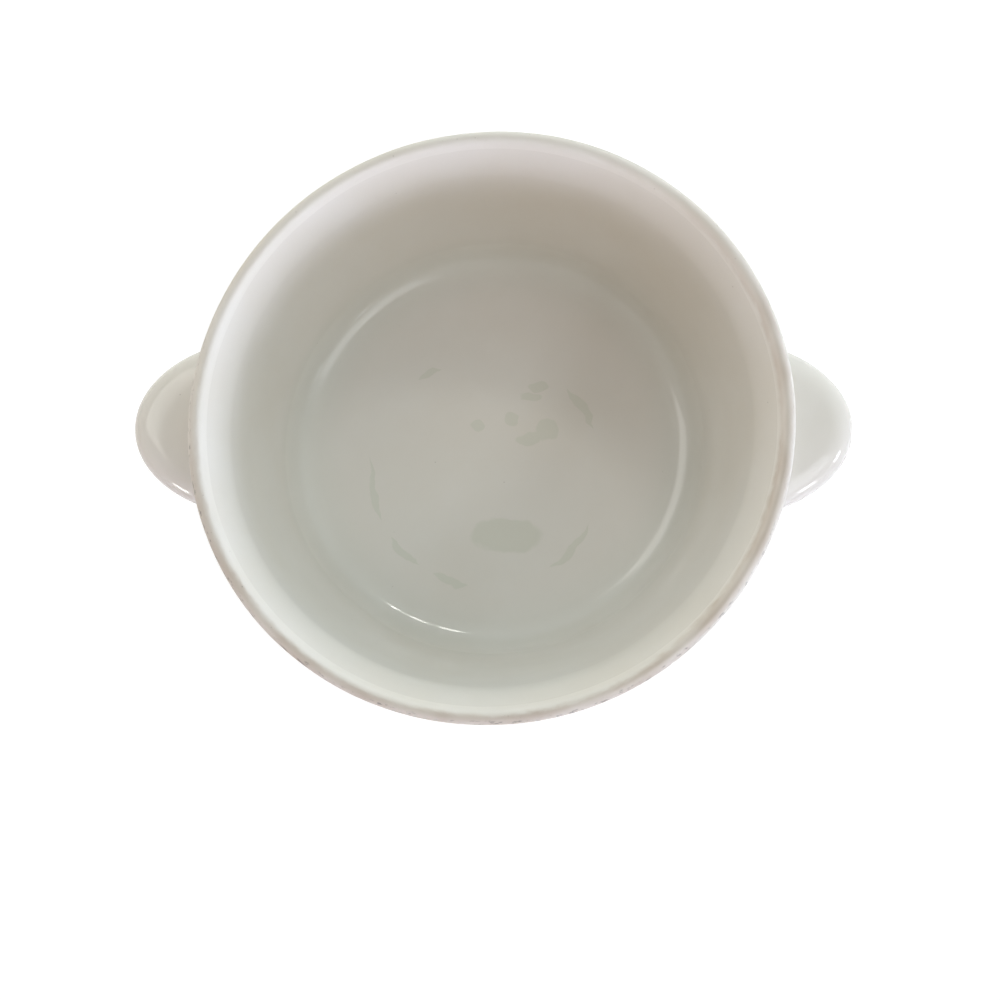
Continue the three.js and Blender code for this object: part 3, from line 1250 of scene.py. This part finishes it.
def make_foot_finish():
    """Bare biscuit, greyed where it touches the table, with glaze above an uneven line."""
    finish, tree, shader, place = new_finish("bare_biscuit_foot")
    glaze = use_group(
        tree, glaze_group, place=place, orange_peel=FOOT_ORANGE_PEEL, speck_share=FOOT_SPECK_SHARE)
    height = put(tree, "ShaderNodeSeparateXYZ", {0: place}).outputs[2]
    wander = cloud(tree, place, *WANDER_NOISE)
    wander = calculate(tree, "MULTIPLY_ADD", wander, glaze_line_wander, -glaze_line_wander / 2)
    level = calculate(tree, "ADD", height, wander)
    glazed = ramp_between(tree, level, glaze_line - glaze_line_blur, glaze_line + glaze_line_blur)
    greyed = falling(tree, level, (0.0, grey_height))
    sand = cloud(tree, place, *SAND_NOISE)
    colour = mix_colours(tree, ramp_between(tree, sand, *COLOUR_DRIFT), BISCUIT, WARM_WHITE)
    colour = tinted(tree, colour, greyed, GREY_SHARE, BISCUIT_GREY)
    colour = mix_colours(tree, glazed, colour, glaze_colour(tree, glaze))
    tree.links.new(colour, shader.inputs["Base Color"])
    rough = ramp_between(tree, glazed, 0.0, 1.0, BISCUIT_ROUGHNESS, GLAZE_ROUGHNESS)
    tree.links.new(rough, shader.inputs["Roughness"])
    rough_sand = calculate(tree, "MULTIPLY", sand, ramp_between(tree, glazed, 0.0, 1.0, SAND_DEPTH, 0.0))
    add_bump(tree, shader, calculate(tree, "ADD", glaze["Height"], rough_sand))
    return finish


foot_finish = make_foot_finish()
print("finish:", foot_finish.name)

# %% [markdown]
# ## Handing the pieces to the frame
#
# Each fired piece stands for one solid of the frame, rides on its only body and names the material slot
# that it shows.

# %% Dress the frame
DRESSED = [
    (dish, "casserole_body", dish_glaze, "glazed_porcelain"),
    (lug, "right_handle", plain_glaze, "glazed_porcelain"),
    (left_lug, "left_handle", plain_glaze, "glazed_porcelain"),
    (slip, "right_slip_joint", plain_glaze, "glazed_porcelain"),
    (left_slip, "left_slip_joint", plain_glaze, "glazed_porcelain"),
    (foot, "foot_ring", foot_finish, "bare_biscuit"),
]
for piece, node, finish, slot in DRESSED:
    piece.data.materials.clear()
    piece.data.materials.append(finish)
    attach(piece, "root")
    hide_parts(node)
    print(piece.name, "stands for", node)

# %% [markdown]
# ## The table
#
# The dish stands on a plain white table. To the camera, and in reflections, the table is white by itself.
# Its diffuse part keeps the shadow of the dish.

# %% Lay the table
TABLE_SIZE = 6.0
TABLE_MATT = (0.45, 0.45, 0.45, 1)
TABLE_SHADE = (0.4, 0.4, 0.4, 1)
TABLE_GLOW = 0.8
PLAIN_WHITE = (1, 1, 1, 1)
table_gap = 0.02 * MM
bpy.ops.object.select_all(action="DESELECT")
bpy.ops.mesh.primitive_plane_add(size=TABLE_SIZE, location=(0, 0, -table_gap))
table = bpy.context.object
table.name = "table"


def seen_directly(tree):
    """One for camera, glossy and transmission rays, none for the light that falls on the dish."""
    path = put(tree, "ShaderNodeLightPath").outputs
    seen = calculate(tree, "MAXIMUM", path["Is Camera Ray"], path["Is Glossy Ray"])
    return calculate(tree, "MAXIMUM", seen, path["Is Transmission Ray"])


def make_table_finish():
    """White where it is seen, with the shadow of the dish, and a plain matt table for the light."""
    finish = bpy.data.materials.new("white_table")
    finish.use_nodes = True
    tree = finish.node_tree
    tree.nodes.clear()
    matt = put(tree, "ShaderNodeBsdfDiffuse", {"Color": TABLE_MATT})
    shade = put(tree, "ShaderNodeBsdfDiffuse", {"Color": TABLE_SHADE})
    glow = put(tree, "ShaderNodeEmission", {"Color": PLAIN_WHITE, "Strength": TABLE_GLOW})
    white = put(tree, "ShaderNodeAddShader", {0: shade.outputs[0], 1: glow.outputs[0]})
    both = put(tree, "ShaderNodeMixShader", {0: seen_directly(tree), 1: matt.outputs[0], 2: white.outputs[0]})
    put(tree, "ShaderNodeOutputMaterial", {0: both.outputs[0]})
    return finish


table.data.materials.append(make_table_finish())
print("table laid at", round(table.location.z / MM, 2), "mm")

# %% [markdown]
# ## Light from the room
#
# The room has a dim warm ceiling, and its light is strongest low down: bluish from the windows at the front
# right, and warmer from the back. Light from that low reaches only the flare of the lip, since the wall
# across shades what is below. That is why the flare looks almost white and the wall under it grey. Two
# weaker sides reach higher up, a cool one at the back and a warm one at the front left. Each side of the
# room is one soft term, with the heights between which it fades out, where none is level with the table and
# one is straight up, and with how far behind the dish it still reaches, as the cosine of the angle from its
# middle.

# %% Light the room
CEILING = (0.194, 0.184, 0.17, 1)
ROOM_SIDES = [
    {"turn": -45, "behind": -0.4, "fades_from": 0.07, "fades_to": 0.23, "colour": (6.4, 6.8, 8.4, 1)},
    {"turn": 90, "behind": -0.7, "fades_from": 0.06, "fades_to": 0.14, "colour": (3.4, 3.0, 2.55, 1)},
    {"turn": 90, "behind": -1.0, "fades_from": 0.80, "fades_to": 0.90, "colour": (0.57, 0.73, 0.76, 1)},
    {"turn": 215, "behind": -1.0, "fades_from": 0.80, "fades_to": 0.90, "colour": (0.29, 0.155, 0.08, 1)},
]


def side_light(tree, way, turn, behind, fades_from, fades_to, colour):
    """Light from one side of the room that fades out with height."""
    height = put(tree, "ShaderNodeSeparateXYZ", {0: way}).outputs[2]
    agreement = combine(tree, "DOT_PRODUCT", level_direction(tree, way), towards(turn, 0))
    side = put(tree, "ShaderNodeMapRange", {"Value": agreement, "From Min": behind}).outputs[0]
    share = calculate(tree, "MULTIPLY", side, falling(tree, height, (fades_from, fades_to)))
    return mix_colours(tree, share, (0, 0, 0, 1), colour)


def light_room():
    """A world that lights the dish by its directions, and is plain white where it is seen."""
    world = bpy.data.worlds.new("soft_room")
    bpy.context.scene.world = world
    world.use_nodes = True
    tree = world.node_tree
    tree.nodes.clear()
    way = put(tree, "ShaderNodeTexCoord").outputs["Generated"]
    light = CEILING
    for side in ROOM_SIDES:
        light = mix_colours(tree, 1.0, light, side_light(tree, way, **side), "ADD")
    room = put(tree, "ShaderNodeBackground", {"Color": light})
    blank = put(tree, "ShaderNodeBackground", {"Color": PLAIN_WHITE})
    both = put(tree, "ShaderNodeMixShader", {0: seen_directly(tree), 1: room.outputs[0], 2: blank.outputs[0]})
    put(tree, "ShaderNodeOutputWorld", {0: both.outputs[0]})
    print(world.name, "has", len(tree.nodes), "nodes")


light_room()

# %% [markdown]
# ## Windows and lamps
#
# The streaks on the glaze are reflections of bright things in the room. In the bend of the floor they are
# the two tall panes of a window on the right, a broken row of lamps at the back and a pale wall on the
# left. The low panes and the side window show only on the lugs and the outside, because the lip hides them
# from the inside. Each is an area lamp, given by its direction, by its width and height as angles and by
# its brightness, and its power follows from those. How much a window lights the dish and how bright it
# looks in the glaze are set apart: some lamps only light, and others only shine in reflections.

# %% Hang the windows and lamps
WINDOW_DISTANCE = 1.5
WATTS_FOR_BRIGHTNESS = 4
COOL = (0.93, 0.97, 1.0)
NEUTRAL = (1.0, 0.985, 0.95)


def window(name, turn, climb, wide, tall, brightness, tint, lights=True, shines=True):
    """An area lamp in a direction from the mouth of the dish, with its angles in degrees."""
    way = towards(turn, climb)
    sides = [2 * WINDOW_DISTANCE * math.tan(math.radians(angle) / 2) for angle in (wide, tall)]
    bpy.ops.object.select_all(action="DESELECT")
    bpy.ops.object.light_add(type="AREA", location=mouth + way * WINDOW_DISTANCE)
    lamp = bpy.context.object
    lamp.name = name
    lamp.rotation_euler = way.to_track_quat("Z", "Y").to_euler()
    lamp.data.shape = "RECTANGLE"
    lamp.data.size, lamp.data.size_y = sides
    lamp.data.energy = WATTS_FOR_BRIGHTNESS * sides[0] * sides[1] * brightness
    lamp.data.color = tint
    lamp.visible_camera = False
    lamp.visible_diffuse = lights
    lamp.visible_glossy = shines
    print(name, round(lamp.data.energy, 2), "W")


for name, turn, brightness in (("window_light_near", -41, 8.5), ("window_light_far", -16, 5.5)):
    window(name, turn, climb=41, wide=8, tall=9, brightness=brightness, tint=COOL, shines=False)
for name, turn, wide in (("window_pane_near", -52, 16), ("window_pane_far", -26, 18)):
    window(name, turn, climb=50, wide=wide, tall=26, brightness=1.4, tint=COOL, lights=False)
for name, turn in (("low_pane_near", -41), ("low_pane_far", -16)):
    window(name, turn, climb=21, wide=8, tall=7, brightness=13, tint=COOL, lights=False)
for name, turn, wide, brightness in (
        ("lamp_left", 66.7, 2.2, 20), ("lamp_middle", 73.5, 2.2, 20), ("lamp_right", 83.2, 4, 13)):
    window(name, turn, climb=44.5, wide=wide, tall=5, brightness=brightness, tint=NEUTRAL)
window("side_window", turn=-137, climb=17, wide=8, tall=8, brightness=12, tint=NEUTRAL, lights=False)
window("pale_wall", turn=155, climb=48, wide=36, tall=28, brightness=1.6, tint=NEUTRAL, lights=False)

# %% [markdown]
# ## Finish
#
# The colours are shown as they are written, without a film curve.

# %% Finish
bpy.context.scene.view_settings.view_transform = "Standard"
